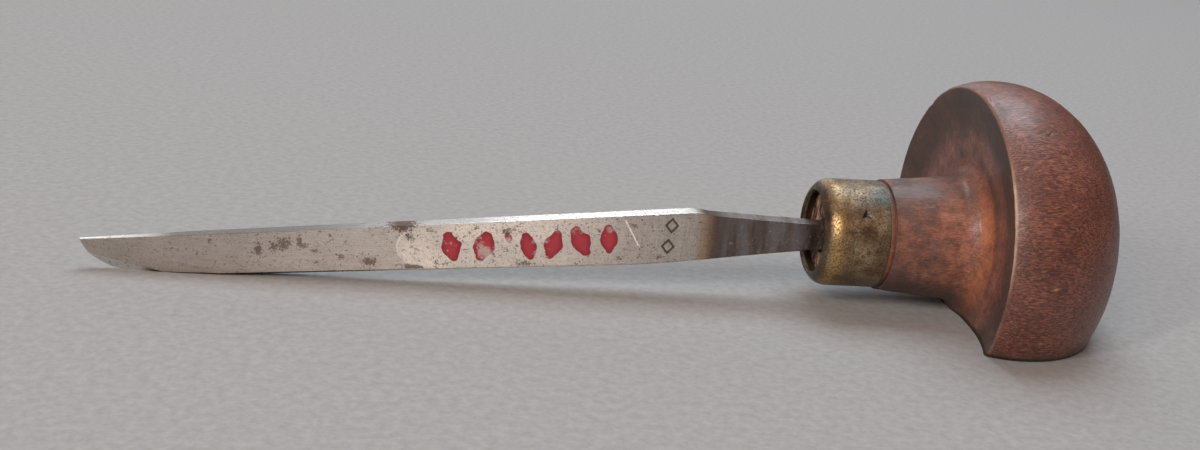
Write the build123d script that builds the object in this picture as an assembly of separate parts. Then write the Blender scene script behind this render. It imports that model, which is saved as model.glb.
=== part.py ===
from build123d import *
from math import asin, cos, degrees, radians, sin
import os

# Wood engraver's graver lying on the flat of its mushroom handle. Millimetres, +Z up.
# +X runs along the handle from the cutting end to the dome; the bench is Z = 0.
# The origin is the middle of the handle's flat.

# Mushroom head, turned about the handle axis
axis_z = 9.0          # handle axis above the bench, so also the depth of the flat
rim_x = -9.0          # front rim of the head, from the middle of the flat
rim_r = 19.0
rim_edge = 0.5        # worn edge of the rim
head_swell = 1.05     # how far the widest place stands out past the rim
swell_run = 4.5       # rim to the widest place
dome_run = 14.5       # widest place to the end of the dome
shoulder_share = 0.91  # dome's shoulder radius over dome_run
dish_sag = 0.45       # hollow of the front face
head_r = rim_r + head_swell

# Ferrule, and the spigot in it
ferrule_r = 6.7
ferrule_len = 8.1
ferrule_wall = 0.7
nose_r = 2.2          # outer radius of the rolled nose
nose_turn = 72.0      # degrees the nose is rolled through
lip_edge = 0.22
punch_back = 3.05     # punch mark, ahead of the ferrule's back edge
punch_angle = 37.0    # degrees above level, on the -Y side
punch_deep = 0.35
punch_w = 0.95
spigot_r = ferrule_r - ferrule_wall
spigot_back = 1.5     # end grain behind the front of the ferrule
spigot_bevel = 1.0
nose_gap = 0.3        # spigot's full size starts this far behind the rolled nose

# Neck and cove
neck_len = 8.95       # rim back from the neck's front edge
neck_step = 0.25      # neck's front edge stands out past the ferrule
neck_grow = 0.85      # how much the neck widens towards the head
cove_back = 0.5       # cove starts this far ahead of the rim
cove_r = 2.8
cove_turn = 78.0      # degrees the cove turns through to meet the front face
ring_w = 0.6          # pale ring of wood that shows behind the ferrule
ring_drop = 0.08      # ring below the ferrule's surface
neck_r = ferrule_r + neck_step
neck_x = rim_x - neck_len
ferrule_x = neck_x - ring_w
mouth_x = ferrule_x - ferrule_len   # front of the ferrule

# Tang: its size at the ferrule's mouth, and the spike inside the handle
root_w = 2.3
tang_h = 3.45
tang_drop = 0.53      # tang's middle below the handle axis
spike_len = 22.65
spike_w = 1.0
spike_h = 1.7
bore_gap = 0.35       # split and worn entry of the bore, around the tang
bore_deep = 1.2
tang_z = axis_z - tang_drop
tang_top = tang_z + tang_h / 2
tang_low = tang_z - tang_h / 2

# Blade: outline seen from the side
blade_len = 87.15     # cutting end to the ferrule's mouth
tip_z = 3.5           # top corner of the cutting end
nose_run = 5.3        # length of the curved nose
nose_bow = 0.95
heel_run = 15.8       # cutting end to where the belly leaves the bench
shank_len = 15.55     # mouth to the top of the shoulder
shoulder_lift = 0.6   # shoulder above the tang
shoulder_soft = 2.5   # length of the rounded shoulder
runout_len = 23.35    # mouth to where the belly starts to run out into the tang
blade_h = 6.4         # height of the blade there
waist_run = 8.85      # mouth to the middle of the run-out, and its drop below the tang
waist_drop = 1.25
tip_x = mouth_x - blade_len
heel_x = tip_x + heel_run
root_x = mouth_x - shank_len
root_z = tang_top + shoulder_lift
belly_x = mouth_x - runout_len
belly_z = tip_z + (root_z - tip_z) * (belly_x - tip_x) / (root_x - tip_x) - blade_h

# Blade: thickness, and the edges
tip_w = 0.6
narrow_w = 1.7
narrow_run = 12.8     # length over which the sides narrow to the tip
belly_edge = 0.25     # rounding of the belly
bevel_front = 1.6     # ground bevels beside the nose, from the tip, and their heights
bevel_rise = 1.75
bevel_back = 7.4
bevel_fall = 0.5
keel_run = 3.4        # where the two bevels meet
keel_z = 0.15
narrow_x = tip_x + narrow_run

handle_axis = Axis((0, 0, axis_z), (1, 0, 0))


def turned(outline):
    # a closed outline of (along, out) edges, turned about the handle axis
    return revolve(make_face(Plane.XZ * Pos(0, axis_z) * outline), handle_axis)


def handle_outline():
    wide_x = rim_x + swell_run
    pole_x = wide_x + dome_run
    side_r = (swell_run ** 2 + head_swell ** 2) / (2 * head_swell)
    side_half = asin(swell_run / side_r) / 2
    side_mid = (wide_x - side_r * sin(side_half), head_r - side_r * (1 - cos(side_half)))

    # the dome is two tangent arcs: a shoulder, then a flatter crown centred on the axis
    shoulder_r = shoulder_share * dome_run
    crown_r = (dome_run ** 2 + head_r ** 2 - 2 * head_r * shoulder_r) / (2 * (dome_run - shoulder_r))
    crown_c = Vector(pole_x - crown_r, 0)
    shoulder_c = Vector(wide_x, head_r - shoulder_r)
    meet = crown_c + (shoulder_c - crown_c).normalized() * crown_r
    turn = (meet - shoulder_c).get_angle(Vector(0, 1))
    shoulder_mid = shoulder_c + Vector(sin(radians(turn / 2)), cos(radians(turn / 2))) * shoulder_r
    tilt = asin(meet.Y / crown_r) / 2
    crown_mid = crown_c + Vector(cos(tilt), sin(tilt)) * crown_r

    spigot_x = mouth_x + spigot_back
    taper_end = (rim_x - cove_back, neck_r + neck_grow)
    taper = Line((neck_x, neck_r), taper_end)
    slope = degrees(asin(neck_grow / taper.length))
    cove = JernArc(taper_end, taper % 1, cove_r, cove_turn - slope)
    foot = cove @ 1
    rim = Vector(rim_x, rim_r)
    dish_mid = (foot + rim) / 2 + Vector(rim_r - foot.Y, foot.X - rim_x).normalized() * dish_sag
    return [
        Polyline(
            (pole_x, 0),
            (spigot_x, 0),
            (spigot_x, spigot_r - spigot_bevel),
            (mouth_x + nose_r + nose_gap, spigot_r),
            (ferrule_x, spigot_r),
            (ferrule_x, ferrule_r - ring_drop),
            (neck_x, ferrule_r - ring_drop),
            (neck_x, neck_r),
        ),
        taper,
        cove,
        ThreePointArc(foot, dish_mid, rim),
        ThreePointArc(rim, side_mid, (wide_x, head_r)),
        ThreePointArc((wide_x, head_r), shoulder_mid, meet),
        ThreePointArc(meet, crown_mid, (pole_x, 0)),
    ]


def mushroom_handle(tang):
    flat_size = 4 * head_r
    body = turned(Curve() + handle_outline())
    rim = body.edges().filter_by(GeomType.CIRCLE).sort_by(lambda e: abs(e.radius - rim_r))[0]
    body = fillet(rim, rim_edge)
    body -= Pos(0, 0, -flat_size / 2) * Box(flat_size * 2, flat_size, flat_size)
    spigot_x = mouth_x + spigot_back
    entry = Box(2 * bore_deep, root_w + 2 * bore_gap, tang_h + 2 * bore_gap)
    return body - tang - Pos(spigot_x, 0, tang_z) * entry


def ferrule():
    turn = radians(nose_turn)
    bend_x = mouth_x + nose_r
    bend_r = ferrule_r - nose_r
    inner_r = nose_r - ferrule_wall

    def on_bend(radius, angle):
        return (bend_x - radius * sin(angle), bend_r + radius * cos(angle))

    outline = [
        Line((ferrule_x, ferrule_r), (bend_x, ferrule_r)),
        ThreePointArc((bend_x, ferrule_r), on_bend(nose_r, turn / 2), on_bend(nose_r, turn)),
        Line(on_bend(nose_r, turn), on_bend(inner_r, turn)),
        ThreePointArc(on_bend(inner_r, turn), on_bend(inner_r, turn / 2), (bend_x, spigot_r)),
        Line((bend_x, spigot_r), (ferrule_x, spigot_r)),
        Line((ferrule_x, spigot_r), (ferrule_x, ferrule_r)),
    ]
    body = turned(Curve() + outline)
    lip = body.edges().filter_by(GeomType.CIRCLE).sort_by(Axis.X)[:2]
    body = fillet(lip, lip_edge)
    # three-sided punch mark
    depth = 4 * punch_deep
    width = punch_w * depth / punch_deep
    punch = loft([
        Plane.XY.offset(-punch_deep) * RegularPolygon(0.02, 3),
        Plane.XY.offset(depth - punch_deep) * RegularPolygon(width, 3),
    ])
    place = Pos(ferrule_x - punch_back, 0, axis_z) * Rot(90 - punch_angle, 0, 0) * Pos(0, 0, ferrule_r)
    return body - place * punch


def tang_spike():
    # a tapering four-sided spike from the ferrule's front to its blunt point
    return loft([
        Plane.YZ.offset(mouth_x) * Pos(0, tang_z) * Rectangle(root_w, tang_h),
        Plane.YZ.offset(mouth_x + spike_len) * Pos(0, axis_z) * Rectangle(spike_w, spike_h),
    ])


def plain_w(x):
    # thickness of the blade where its sides taper evenly
    return root_w + (narrow_w - root_w) * (mouth_x - x) / (mouth_x - narrow_x)


def end_w(run):
    # thickness this far back from the tip, where it was ground thinner
    return tip_w + (narrow_w - tip_w) * run / narrow_run


def bevel_cut(side):
    # what the grinding took off one side of the nose: all that lies outside a sloping plane
    high = Vector(tip_x + bevel_front, side * end_w(bevel_front) / 2, bevel_rise)
    low = Vector(tip_x + bevel_back, side * end_w(bevel_back) / 2, bevel_fall)
    keel = Vector(tip_x + keel_run, 0, keel_z)
    normal = (low - high).cross(keel - high) * side
    size = 6 * bevel_rise + 2 * bevel_back
    return Plane(origin=keel, z_dir=normal) * Pos(0, 0, size / 2) * Box(size, size, size)


def from_above(points):
    # the blade's outline seen from above, from (along, thickness) points
    near = [(x, -w / 2) for x, w in points]
    far = [(x, w / 2) for x, w in reversed(points)]
    return extrude(make_face(Polyline(*near, *far, close=True)), 2 * root_z)


def graver_blade(tang):
    nose_end = Vector(tip_x + nose_run, 0)
    tip = Vector(tip_x, tip_z)
    nose_mid = (nose_end + tip) / 2 + Vector(-tip_z, -nose_run).normalized() * nose_bow
    root = Vector(root_x, root_z)
    soft_end = Vector(root_x + shoulder_soft, root_z - shoulder_lift / 3)
    soft_mid = (root + soft_end) / 2 + Vector(0, shoulder_lift / 6)
    side = Curve() + [
        Line((tip_x, 0), (heel_x, 0)),
        Line((heel_x, 0), (belly_x, belly_z)),
        Spline(
            (belly_x, belly_z),
            (mouth_x - waist_run, tang_low - waist_drop),
            (mouth_x, tang_low),
            tangents=[(belly_x - heel_x, belly_z), (waist_run, waist_drop)],
        ),
        Line((mouth_x, tang_low), (mouth_x, tang_top)),
        Line((mouth_x, tang_top), soft_end),
        ThreePointArc(soft_end, soft_mid, root),
        Line(root, tip),
        Line(tip, (tip_x, 0)),
    ]
    body = extrude(make_face(Plane.XZ * side), root_w, both=True)
    body &= from_above([(tip_x, plain_w(tip_x)), (mouth_x, root_w)])
    belly = body.edges().filter_by(
        lambda e: e.center().Z < belly_z + 1 and abs(e.center().Y) > 0.1 and e.length > 8
    )
    body = fillet(belly, belly_edge)
    nose = make_face(Plane.XZ * (Curve() + [
        ThreePointArc(tip, nose_mid, nose_end),
        Line(nose_end, (tip_x - 1, 0)),
        Line((tip_x - 1, 0), (tip_x - 1, tip_z)),
        Line((tip_x - 1, tip_z), tip),
    ]))
    body -= extrude(nose, root_w, both=True)
    body &= from_above([(tip_x, tip_w), (narrow_x, narrow_w), (mouth_x, root_w)])
    body -= bevel_cut(1)
    body -= bevel_cut(-1)
    return body + tang


def main():
    os.makedirs("parts", exist_ok=True)
    tang = tang_spike()
    export_step(graver_blade(tang), "parts/graver_blade.step")
    export_step(ferrule(), "parts/ferrule.step")
    export_step(mushroom_handle(tang), "parts/mushroom_handle.step")


main()
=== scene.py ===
import math
from functools import partial

import bpy
import numpy as np
from mathutils import Matrix, Vector


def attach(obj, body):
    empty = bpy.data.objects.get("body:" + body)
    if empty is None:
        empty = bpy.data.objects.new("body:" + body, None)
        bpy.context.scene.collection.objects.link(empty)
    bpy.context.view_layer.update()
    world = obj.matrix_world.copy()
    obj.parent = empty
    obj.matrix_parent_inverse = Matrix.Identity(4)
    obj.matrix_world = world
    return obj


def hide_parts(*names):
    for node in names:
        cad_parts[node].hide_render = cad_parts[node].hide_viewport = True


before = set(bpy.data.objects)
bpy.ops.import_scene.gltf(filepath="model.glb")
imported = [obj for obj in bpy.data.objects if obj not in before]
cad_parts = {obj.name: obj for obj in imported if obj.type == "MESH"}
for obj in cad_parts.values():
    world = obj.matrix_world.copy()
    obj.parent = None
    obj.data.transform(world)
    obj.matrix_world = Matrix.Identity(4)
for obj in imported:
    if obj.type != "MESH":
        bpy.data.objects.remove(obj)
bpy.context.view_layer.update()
scene = bpy.context.scene

# Wood engraver's graver on the flat of its mushroom handle. Shapes are worked out in
# millimetres in the frame's own axes, and go into the meshes as metres.
mm = 0.001
axisHeight = 9.0      # handle axis above the bench
mouthX = -26.65       # front of the ferrule
tipX = -113.8         # cutting end
tang = {              # the tang where it enters the ferrule, and its spike in the handle
    "mouthWide": 2.3, "mouthTall": 3.45, "mouthZ": 8.47,
    "spikeLong": 22.65, "spikeWide": 1.0, "spikeTall": 1.7,
}


# Shared tools

def ease(low, high, value):
    # 0 below low, 1 above high, with a smooth S between
    t = np.clip((value - low) / (high - low), 0, 1)
    return t * t * (3 - 2 * t)


def hump(value, middle, width):
    # a bell: 1 at the middle, e to the minus 1 one width away
    return np.exp(-((value - middle) / width) ** 2)


def latticeNumber(cells, seed):
    # one fixed number from -1 to 1 for each whole-number cell, by mixing its three counts
    mixed = cells[..., 0] * 73856093 ^ cells[..., 1] * 19349663 ^ cells[..., 2] * 83492791
    mixed = (mixed ^ seed * 15485863) & 0xFFFFFFFF
    mixed = ((mixed ^ mixed >> 15) * 2246822519) & 0xFFFFFFFF
    mixed = ((mixed ^ mixed >> 13) * 3266489917) & 0xFFFFFFFF
    return ((mixed ^ mixed >> 16) & 0xFFFF) / 32767.5 - 1


def cloud(points, size, seed, octaves=3):
    # value noise: a fixed number at each corner of a lattice of that size, eased between
    # the eight corners round a point, with finer and weaker lattices added to it
    total = 0
    for octave in range(octaves):
        spot = points * (2 ** octave / np.asarray(size, float)) + 7.31 * octave
        base = np.floor(spot).astype(np.int64)
        part = spot - base
        part = part * part * (3 - 2 * part)
        value = 0
        for corner in np.ndindex(2, 2, 2):
            share = np.where(np.array(corner) == 1, part, 1 - part).prod(-1)
            value = value + share * latticeNumber(base + np.array(corner), seed + octave)
        total = total + value * 0.5 ** octave
    return total


def arcPoints(start, through, end, count):
    # evenly turned points on the circle through three points of a profile
    (ax, ay), (bx, by), (cx, cy) = start, through, end
    d = 2 * (ax * (by - cy) + bx * (cy - ay) + cx * (ay - by))
    a2, b2, c2 = ax * ax + ay * ay, bx * bx + by * by, cx * cx + cy * cy
    ux = (a2 * (by - cy) + b2 * (cy - ay) + c2 * (ay - by)) / d
    uy = (a2 * (cx - bx) + b2 * (ax - cx) + c2 * (bx - ax)) / d
    first, last = math.atan2(ay - uy, ax - ux), math.atan2(cy - uy, cx - ux)
    middle = math.atan2(by - uy, bx - ux)
    turn = (last - first) % math.tau
    if (middle - first) % math.tau > turn:
        turn -= math.tau
    angle = first + turn * np.linspace(0, 1, count)
    radius = math.hypot(ax - ux, ay - uy)
    return np.stack([ux + radius * np.cos(angle), uy + radius * np.sin(angle)], 1)


def linePoints(start, end, count):
    return np.linspace(start, end, count)


def makePiece(name, points, faceLists, values, node, material, sharpDegrees):
    # a mesh object from points in millimetres, arrays of point numbers for its faces, and a
    # dictionary of one number a point for the material; points that no face uses are dropped
    used, corners = np.unique(np.concatenate([f.ravel() for f in faceLists]), return_inverse=True)
    counts = np.concatenate([np.full(len(f), f.shape[1]) for f in faceLists])
    mesh = bpy.data.meshes.new(name)
    mesh.vertices.add(len(used))
    mesh.vertices.foreach_set("co", (points[used] * mm).astype(np.float32).ravel())
    mesh.loops.add(len(corners))
    mesh.loops.foreach_set("vertex_index", corners.ravel().astype(np.int32))
    mesh.polygons.add(len(counts))
    mesh.polygons.foreach_set("loop_start", (np.cumsum(counts) - counts).astype(np.int32))
    mesh.update(calc_edges=True)
    mesh.validate()
    mesh.polygons.foreach_set("use_smooth", np.ones(len(mesh.polygons), bool))
    mesh.set_sharp_from_angle(angle=math.radians(sharpDegrees))
    for key, value in values.items():
        layer = mesh.attributes.new(key, "FLOAT", "POINT")
        layer.data.foreach_set("value", np.asarray(value, np.float32)[used])
    piece = bpy.data.objects.new(name, mesh)
    scene.collection.objects.link(piece)
    mesh.materials.append(material)
    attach(piece, "root")
    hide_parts(node)
    print(name, "points", len(mesh.vertices), "faces", len(mesh.polygons))
    return piece


def linearColour(code):
    # an sRGB hex colour as the linear one that shaders use
    parts = [int(code[i:i + 2], 16) / 255 for i in (1, 3, 5)]
    return (*[p / 12.92 if p <= 0.04045 else ((p + 0.055) / 1.055) ** 2.4 for p in parts], 1.0)


def addNode(tree, kind, feeds=None, out=0, stops=None, **settings):
    # one shader node: its settings, its inputs as values or as sockets to link, and for a ramp
    # its stops as (place, colour or grey); gives back the output socket asked for
    node = tree.nodes.new("ShaderNode" + kind)
    for name, value in settings.items():
        setattr(node, name, value)
    for number, (place, colour) in enumerate(stops or []):
        grey = (colour, colour, colour, 1.0) if isinstance(colour, (int, float)) else linearColour(colour)
        ramp = node.color_ramp.elements
        stop = ramp[number] if number < 2 else ramp.new(place)
        stop.position, stop.color = place, grey
    for name, value in (feeds or {}).items():
        if isinstance(value, bpy.types.NodeSocket):
            tree.links.new(value, node.inputs[name])
        elif isinstance(value, str):
            node.inputs[name].default_value = linearColour(value)
        else:
            node.inputs[name].default_value = value
    return node.outputs[out] if len(node.outputs) else None


def newMaterial(name):
    # a material with an empty tree, and addNode bound to that tree
    material = bpy.data.materials.new(name)
    material.use_nodes = True
    material.node_tree.nodes.clear()
    return material, partial(addNode, material.node_tree)


def finishMaterial(add, feeds):
    # the shader and the output, with the same kind of feeds as any node
    shader = add("BsdfPrincipled", feeds)
    add("OutputMaterial", {"Surface": shader})


# Handle: stained, turned beech

handle = {
    "rimX": -9.0, "rimR": 19.0, "rimSoft": 0.5, "swell": 1.05, "swellRun": 4.5,
    "domeRun": 14.5, "shoulderShare": 0.91, "dishSag": 0.45,
    "neckX": -17.95, "neckR": 6.95, "neckGrow": 0.85, "coveBack": 0.5, "coveR": 2.8, "coveTurn": 78.0,
    "ringX": -18.55, "ringR": 6.62, "spigotX": -25.15, "spigotR": 6.0, "spigotBevel": 1.0,
    "entryWide": 3.0, "entryTall": 4.15, "entryDeep": 1.2,
    "around": 372, "edgeColumns": 6,
    # knocks: (place, size, depth, how pale the chip is)
    "knocks": [((-3.6, -11.0, 25.7), 0.9, 0.06, 0), ((-2.6, -13.4, 23.7), 0.35, 0.12, 1),
               ((-7.4, -14.4, 22.4), 0.4, 0.12, 0.8),
               ((-3.7, -19.1, 2.8), 0.4, 0.14, 1), ((-3.7, -20.0, 9.8), 0.5, 0.08, 1),
               ((-5.0, 14.0, 20.0), 0.8, 0.14, 1),
               ((4.0, 6.0, 22.0), 0.7, 0.12, 0.7), ((8.3, -3.0, 13.0), 0.8, 0.12, 0.7),
               ((-8.8, 12.2, 23.6), 0.6, 0.09, 0.5)],
    "crackPlace": (-3.7, -11.1, 25.6),
    # colours by where a mottle is low to high: the stain on the dome, the neck and the hollow
    # front, and the bare end grain
    "domeColours": [(0.30, "#643d33"), (0.52, "#7b4c40"), (0.74, "#915d4c")],
    "neckColours": [(0.36, "#7a5d55"), (0.50, "#966150"), (0.66, "#b07862")],
    "frontColours": [(0.34, "#684740"), (0.52, "#875a4f"), (0.72, "#a26b5d")],
    "endGrainColours": [(0.40, "#1e1611"), (0.50, "#6e503c"), (0.62, "#b08b69")],
    # the amber and worn colours also paint highlights, the grime and crack colours also paint shade
    "fleckColour": "#3d231e", "paleFleckColour": "#c98f72", "amberAndHighlightColour": "#bf754c",
    "grimeAndShadeColour": "#3c322d",
    "wornColour": "#f4d9bb", "chipColour": "#d6a67d", "crackAndShadowColour": "#1f1511",
}


def handleProfile(h):
    # (along, out) points from the spigot's end to the end of the dome: straight runs, the
    # cove's arc, the hollow front, and the three arcs of the rim's side, shoulder and crown
    wideX = h["rimX"] + h["swellRun"]
    headR = h["rimR"] + h["swell"]
    poleX = wideX + h["domeRun"]
    sideR = (h["swellRun"] ** 2 + h["swell"] ** 2) / (2 * h["swell"])
    sideHalf = math.asin(h["swellRun"] / sideR) / 2
    sideMid = (wideX - sideR * math.sin(sideHalf), headR - sideR * (1 - math.cos(sideHalf)))
    shoulderR = h["shoulderShare"] * h["domeRun"]
    crownR = (h["domeRun"] ** 2 + headR ** 2 - 2 * headR * shoulderR) / (2 * (h["domeRun"] - shoulderR))
    crownC = np.array([poleX - crownR, 0])
    shoulderC = np.array([wideX, headR - shoulderR])
    meet = crownC + (shoulderC - crownC) / np.linalg.norm(shoulderC - crownC) * crownR
    turn = math.atan2(*(meet - shoulderC)) / 2
    shoulderMid = shoulderC + np.array([math.sin(turn), math.cos(turn)]) * shoulderR
    tilt = math.asin(meet[1] / crownR) / 2
    crownMid = crownC + np.array([math.cos(tilt), math.sin(tilt)]) * crownR

    taperEnd = np.array([h["rimX"] - h["coveBack"], h["neckR"] + h["neckGrow"]])
    slope = math.atan2(h["neckGrow"], taperEnd[0] - h["neckX"])
    coveC = taperEnd + h["coveR"] * np.array([-math.sin(slope), math.cos(slope)])
    end = math.radians(h["coveTurn"])
    onCove = lambda a: coveC + h["coveR"] * np.array([math.sin(a), -math.cos(a)])
    foot = onCove(end)
    rim = np.array([h["rimX"], h["rimR"]])
    across = np.array([rim[1] - foot[1], foot[0] - rim[0]])
    dishMid = (foot + rim) / 2 + across / np.linalg.norm(across) * h["dishSag"]

    dish = arcPoints(foot, dishMid, rim, 60)
    side = arcPoints(rim, sideMid, (wideX, headR), 40)
    # the rim's worn edge is a quarter turn between a point on the dish and one on the side
    soft = h["rimSoft"]
    dishEnd = rim + (dish[-4] - rim) / np.linalg.norm(dish[-4] - rim) * soft
    sideStart = rim + (side[3] - rim) / np.linalg.norm(side[3] - rim) * soft
    bend = np.linspace(0, 1, 9)[:, None]
    rimEdge = (1 - bend) ** 2 * dishEnd + 2 * bend * (1 - bend) * rim + bend ** 2 * sideStart
    bevelX, ringX, neckX = h["spigotX"] + h["spigotBevel"], h["ringX"], h["neckX"]
    runs = [
        linePoints((h["spigotX"], h["spigotR"] - h["spigotBevel"]), (bevelX, h["spigotR"]), 5),
        linePoints((bevelX, h["spigotR"]), (ringX, h["spigotR"]), 7),
        [(ringX, 6.4), (ringX, 6.52), (ringX + 0.03, 6.59), (ringX + 0.1, h["ringR"])],
        [(ringX + 0.3, h["ringR"]), (neckX - 0.07, h["ringR"]), (neckX - 0.04, 6.56), (neckX - 0.01, 6.48)],
        [(neckX, 6.52), (neckX, 6.84), (neckX + 0.02, 6.90), (neckX + 0.06, 6.95), (neckX + 0.13, 6.97)],
        linePoints((neckX + 0.3, h["neckR"] + 0.02), taperEnd, 34),
        [onCove(a) for a in np.linspace(slope, end, 20)[1:]],
        dish[2:][np.linalg.norm(dish[2:] - rim, axis=1) > soft * 1.1],
        rimEdge,
        side[np.linalg.norm(side - rim, axis=1) > soft * 1.1][::2],
        arcPoints((wideX, headR), shoulderMid, meet, 54)[1:],
        arcPoints(meet, crownMid, (poleX, 0), 36)[1:],
    ]
    path = np.concatenate([np.asarray(r, float) for r in runs])
    keep = np.r_[True, np.linalg.norm(np.diff(path, axis=0), axis=1) > 1e-6]
    return path[keep]


def splitAt(path, radius):
    # adds a point wherever the profile crosses this radius
    crossed = np.where((path[:-1, 1] - radius) * (path[1:, 1] - radius) < 0)[0]
    share = (radius - path[crossed, 1]) / (path[crossed + 1, 1] - path[crossed, 1])
    added = path[crossed] + (path[crossed + 1] - path[crossed]) * share[:, None]
    added[:, 1] = radius
    return np.insert(path, crossed + 1, added, axis=0)


def boxRing(x, wide, tall, middleZ, angle):
    # a rectangle across the axis, read at each angle from straight up
    reach = np.minimum(wide / 2 / np.maximum(np.abs(np.sin(angle)), 1e-9),
                       tall / 2 / np.maximum(np.abs(np.cos(angle)), 1e-9))
    return np.stack([np.full_like(angle, x), reach * np.sin(angle), middleZ + reach * np.cos(angle)], 1)


def crackMark(points):
    # a short, slightly bent crack in the dome: how far each point is along it and off it, both
    # held to 3 mm
    away = points - handle["crackPlace"]
    along = away @ (0.762, 0.537, 0.359)
    off = away @ (-0.647, 0.633, 0.423) - 0.10 * along ** 2
    far = np.linalg.norm(away, axis=1) > 3
    return np.where(far, 3, np.clip(along, -3, 3)), np.where(far, 3, np.clip(off, -3, 3))


def buildHandle(material):
    # each profile point is a ring round the axis; one that dips below the bench is an arc that
    # stops on it, so both ends of the arcs together outline the flat, which is one face
    h = handle
    path = splitAt(handleProfile(h), axisHeight)
    edge = np.linspace(0, 0.0026 * h["edgeColumns"], h["edgeColumns"] + 1)
    turn = np.concatenate([edge[:-1] - 1, np.linspace(edge[-1] - 1, 1 - edge[-1], h["around"] + 1),
                           1 - edge[-2::-1]])
    columns = len(turn)
    full = np.pi * turn

    # the bore that holds the tang, from its blind end out to the split end grain
    bore = []
    for share in np.linspace(1, 0.125, 9):
        size = [tang["mouthWide"] + (tang["spikeWide"] - tang["mouthWide"]) * share,
                tang["mouthTall"] + (tang["spikeTall"] - tang["mouthTall"]) * share]
        middle = tang["mouthZ"] + (axisHeight - tang["mouthZ"]) * share
        bore.append(boxRing(mouthX + tang["spikeLong"] * share, *size, middle, full))
    floorX = h["spigotX"] + h["entryDeep"]
    ragged = 1 + 0.10 * cloud(np.stack([full * 0, np.sin(full) * 3, np.cos(full) * 3], 1), 0.9, 5)[:, None]
    square = np.array([[0, 0, tang["mouthZ"]]])
    for x, grow in ((floorX, 1.0), (floorX - 0.4, 1.0), (floorX - 0.8, 1.03), (floorX - 1.1, 1.08),
                    (floorX - 1.2, 1.16)):
        ring = boxRing(x, h["entryWide"] * grow, h["entryTall"] * grow, tang["mouthZ"], full)
        spread = np.where(grow > 1, ragged, 1)
        ring[:, 1:] = square[:, 1:] + (ring[:, 1:] - square[:, 1:]) * spread
        bore.append(ring)
    inner = bore[-1]
    outer = np.stack([np.full(columns, path[0, 0]), path[0, 1] * np.sin(full),
                      axisHeight + path[0, 1] * np.cos(full)], 1)
    for share in np.linspace(0, 1, 15)[1:-1]:
        ring = inner + (outer - inner) * share
        rough = cloud(ring, (9, 0.5, 1.1), 31, 3)
        ring[:, 0] = path[0, 0] + 0.16 * rough * ease(0, 0.1, share) * ease(1, 0.85, share)
        bore.append(ring)
    bore = np.array(bore)

    # the turned outside
    reach = path[:, 1:2]
    limit = np.where(reach > axisHeight, np.arccos(np.clip(-axisHeight / np.maximum(reach, 1e-6), -1, 1)),
                     np.pi)
    angle = limit * turn
    skin = np.stack([np.broadcast_to(path[:, :1], angle.shape), reach * np.sin(angle),
                     axisHeight + reach * np.cos(angle)], 2)
    opened = path[:, 1] > axisHeight + 1e-9
    skin[opened, 0, 2] = 0
    skin[opened, -1, 2] = 0

    # small unevenness from the lathe, long handling and knocks, always inwards
    along = np.gradient(path, axis=0)
    along /= np.linalg.norm(along, axis=1, keepdims=True)
    outward = np.stack([np.broadcast_to(-along[:, 1:2], angle.shape), along[:, :1] * np.sin(angle),
                        along[:, :1] * np.cos(angle)], 2)
    flatPoints = skin.reshape(-1, 3)
    dents = 0.05 * (cloud(flatPoints, 8.0, 3, 2) + 1)
    dents += 0.012 * (cloud(flatPoints, (2.5, 0.8, 0.8), 9, 2) + 1)
    chips = np.zeros(len(flatPoints))
    for place, size, deep, pale in h["knocks"]:
        near = np.linalg.norm((flatPoints - place) * (0.6, 1, 1.3), axis=1)
        dents += deep * np.exp(-(near / size) ** 2)
        chips = np.maximum(chips, pale * np.exp(-(near / (0.36 * size)) ** 2))
    crackAlong, crackOff = crackMark(flatPoints)
    rimPlace = np.linalg.norm(path - (h["rimX"], h["rimR"]), axis=1)
    rimPlace *= np.where(np.arange(len(path)) < rimPlace.argmin(), -1, 1)      # below 0 on the front face
    rimNear = np.repeat(np.exp(-(rimPlace / 0.8) ** 2), columns)
    dents += rimNear * 0.10 * ease(0.1, 0.9, cloud(flatPoints, 2.6, 21, 3))
    outsideOnly = np.repeat(ease(h["ringX"], h["neckX"] + 0.4, path[:, 0]), columns)
    offBench = np.where(np.repeat(opened, columns), ease(0.3, 2.0, flatPoints[:, 2]), 1)
    skin = (flatPoints - outward.reshape(-1, 3) * (dents * outsideOnly * offBench)[:,
                                                                                   None]).reshape(skin.shape)

    # the flat's worn edge: the last third of a millimetre above the bench turns in a quarter round
    soft = 0.34
    low = np.clip(1 - skin[..., 2] / soft, 0, 1) * opened[:, None]
    chord = np.abs(skin[:, :1, 1])
    pull = soft * (1 - np.sqrt(1 - low ** 2)) * np.minimum(1, chord / 4)
    skin[..., 1] -= np.sign(skin[..., 1]) * np.minimum(pull, np.abs(skin[..., 1]) * 0.9)

    rows = len(bore) + len(skin)
    points = np.concatenate([bore.reshape(-1, 3), skin.reshape(-1, 3)])
    number = np.arange(rows * columns).reshape(rows, columns)
    openRow = np.r_[np.zeros(len(bore), bool), opened]
    number[~openRow, -1] = number[~openRow, 0]
    number[-1] = number[-1, 0]                      # the end of the dome is one point
    blind = len(points)
    points = np.vstack([points, [mouthX + tang["spikeLong"], 0, axisHeight]])
    quads = np.stack([number[:-2, :-1], number[:-2, 1:], number[1:-1, 1:], number[1:-1, :-1]],
                     -1).reshape(-1, 4)
    crown = np.stack([number[-2, :-1], number[-2, 1:], np.full(columns - 1, number[-1, 0])], -1)
    boreEnd = np.stack([np.full(columns - 1, blind), number[0, 1:], number[0, :-1]], -1)
    first, last = np.where(openRow)[0][[0, -1]]
    outline = np.r_[number[first - 1:last + 2, 0], number[first:last + 1, -1][::-1]]
    faceLists = [quads, crown, boreEnd, outline[None, ::-1]]
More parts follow.
